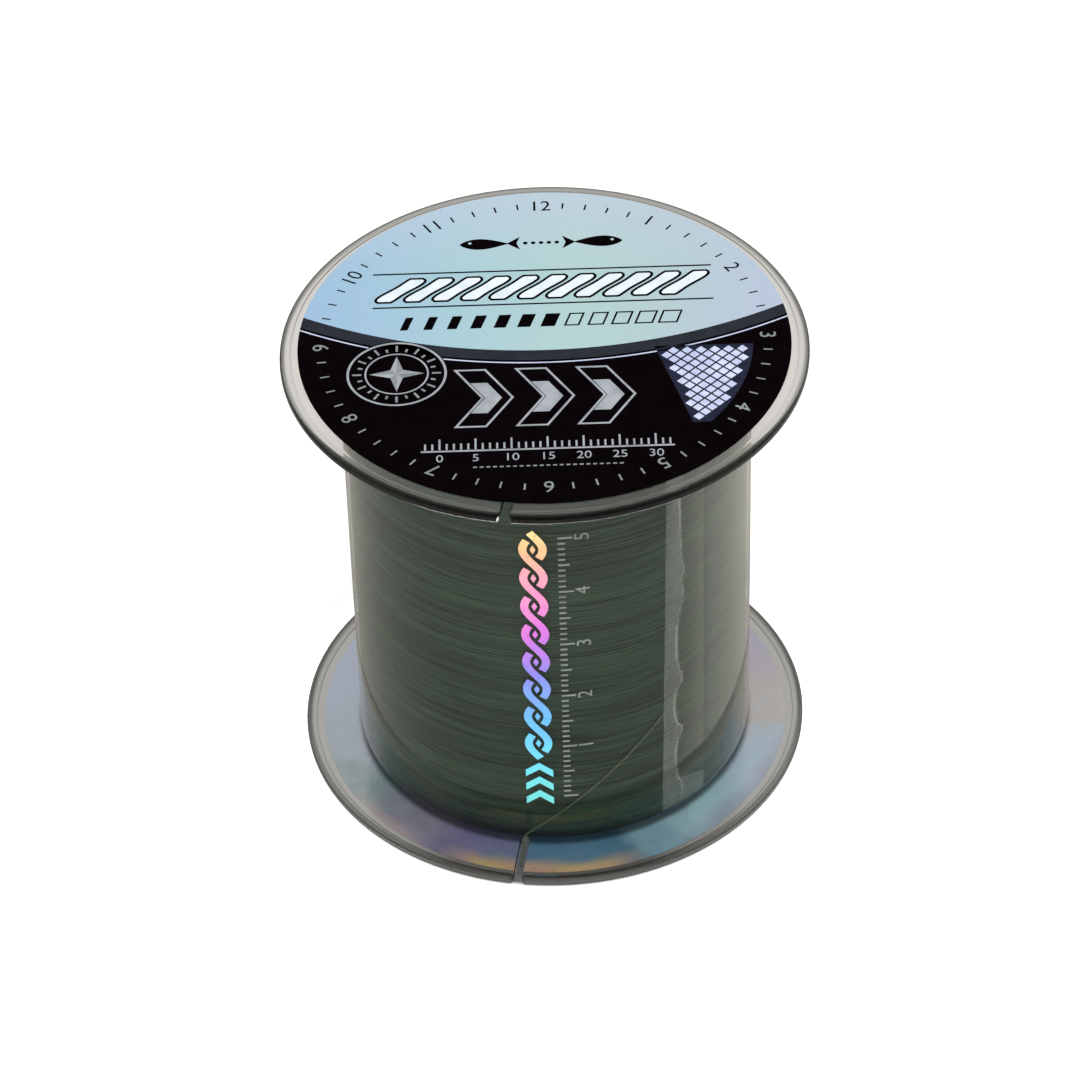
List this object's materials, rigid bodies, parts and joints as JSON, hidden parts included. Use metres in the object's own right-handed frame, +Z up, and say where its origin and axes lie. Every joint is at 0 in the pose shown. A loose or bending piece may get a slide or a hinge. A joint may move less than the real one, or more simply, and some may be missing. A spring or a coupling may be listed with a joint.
{
  "type": "fishing line spool",
  "caption": "Round clear-grey line spool with two wide flanges, a wound line under a clear film sleeve, a line slot in each rim and a round label on each end.",
  "frame": {"origin": "centre of the lower rim, on the surface the spool stands on", "axes": "+Z up along the spool's axis to the labelled end; -Y is the front, where the line slots of both flanges are; +X to the right seen from the front"},
  "size_m": [0.0754, 0.0754, 0.0715],
  "materials": {
    "clear_grey_plastic": "clear smoke-grey moulded polystyrene, glossy",
    "printed_label": "iridescent foil label with satin dark print",
    "foil_label": "iridescent silver foil",
    "braided_line": "dark green braided polyethylene, slight sheen",
    "paper_tape": "matte crepe tape",
    "clear_film": "glossy clear polypropylene film with a foil print",
    "adhesive": "hazy transfer adhesive with small bubbles"
  },
  "bodies": {
    "spool": {"lower_spool_half": "clear_grey_plastic", "upper_spool_half": "clear_grey_plastic", "wound_line": "braided_line", "line_tail": "braided_line", "start_tape": "paper_tape", "top_label": "printed_label", "bottom_label": "foil_label"},
    "sleeve": {"clear_wrap": "clear_film", "wrap_adhesive_strip": "adhesive"}
  },
  "joints": [
    {"name": "sleeve_turn", "type": "hinge", "parent": "spool", "child": "sleeve", "pos_m": [0, 0, 0.03585], "axis": [0, 0, 1], "continuous": true}
  ]
}
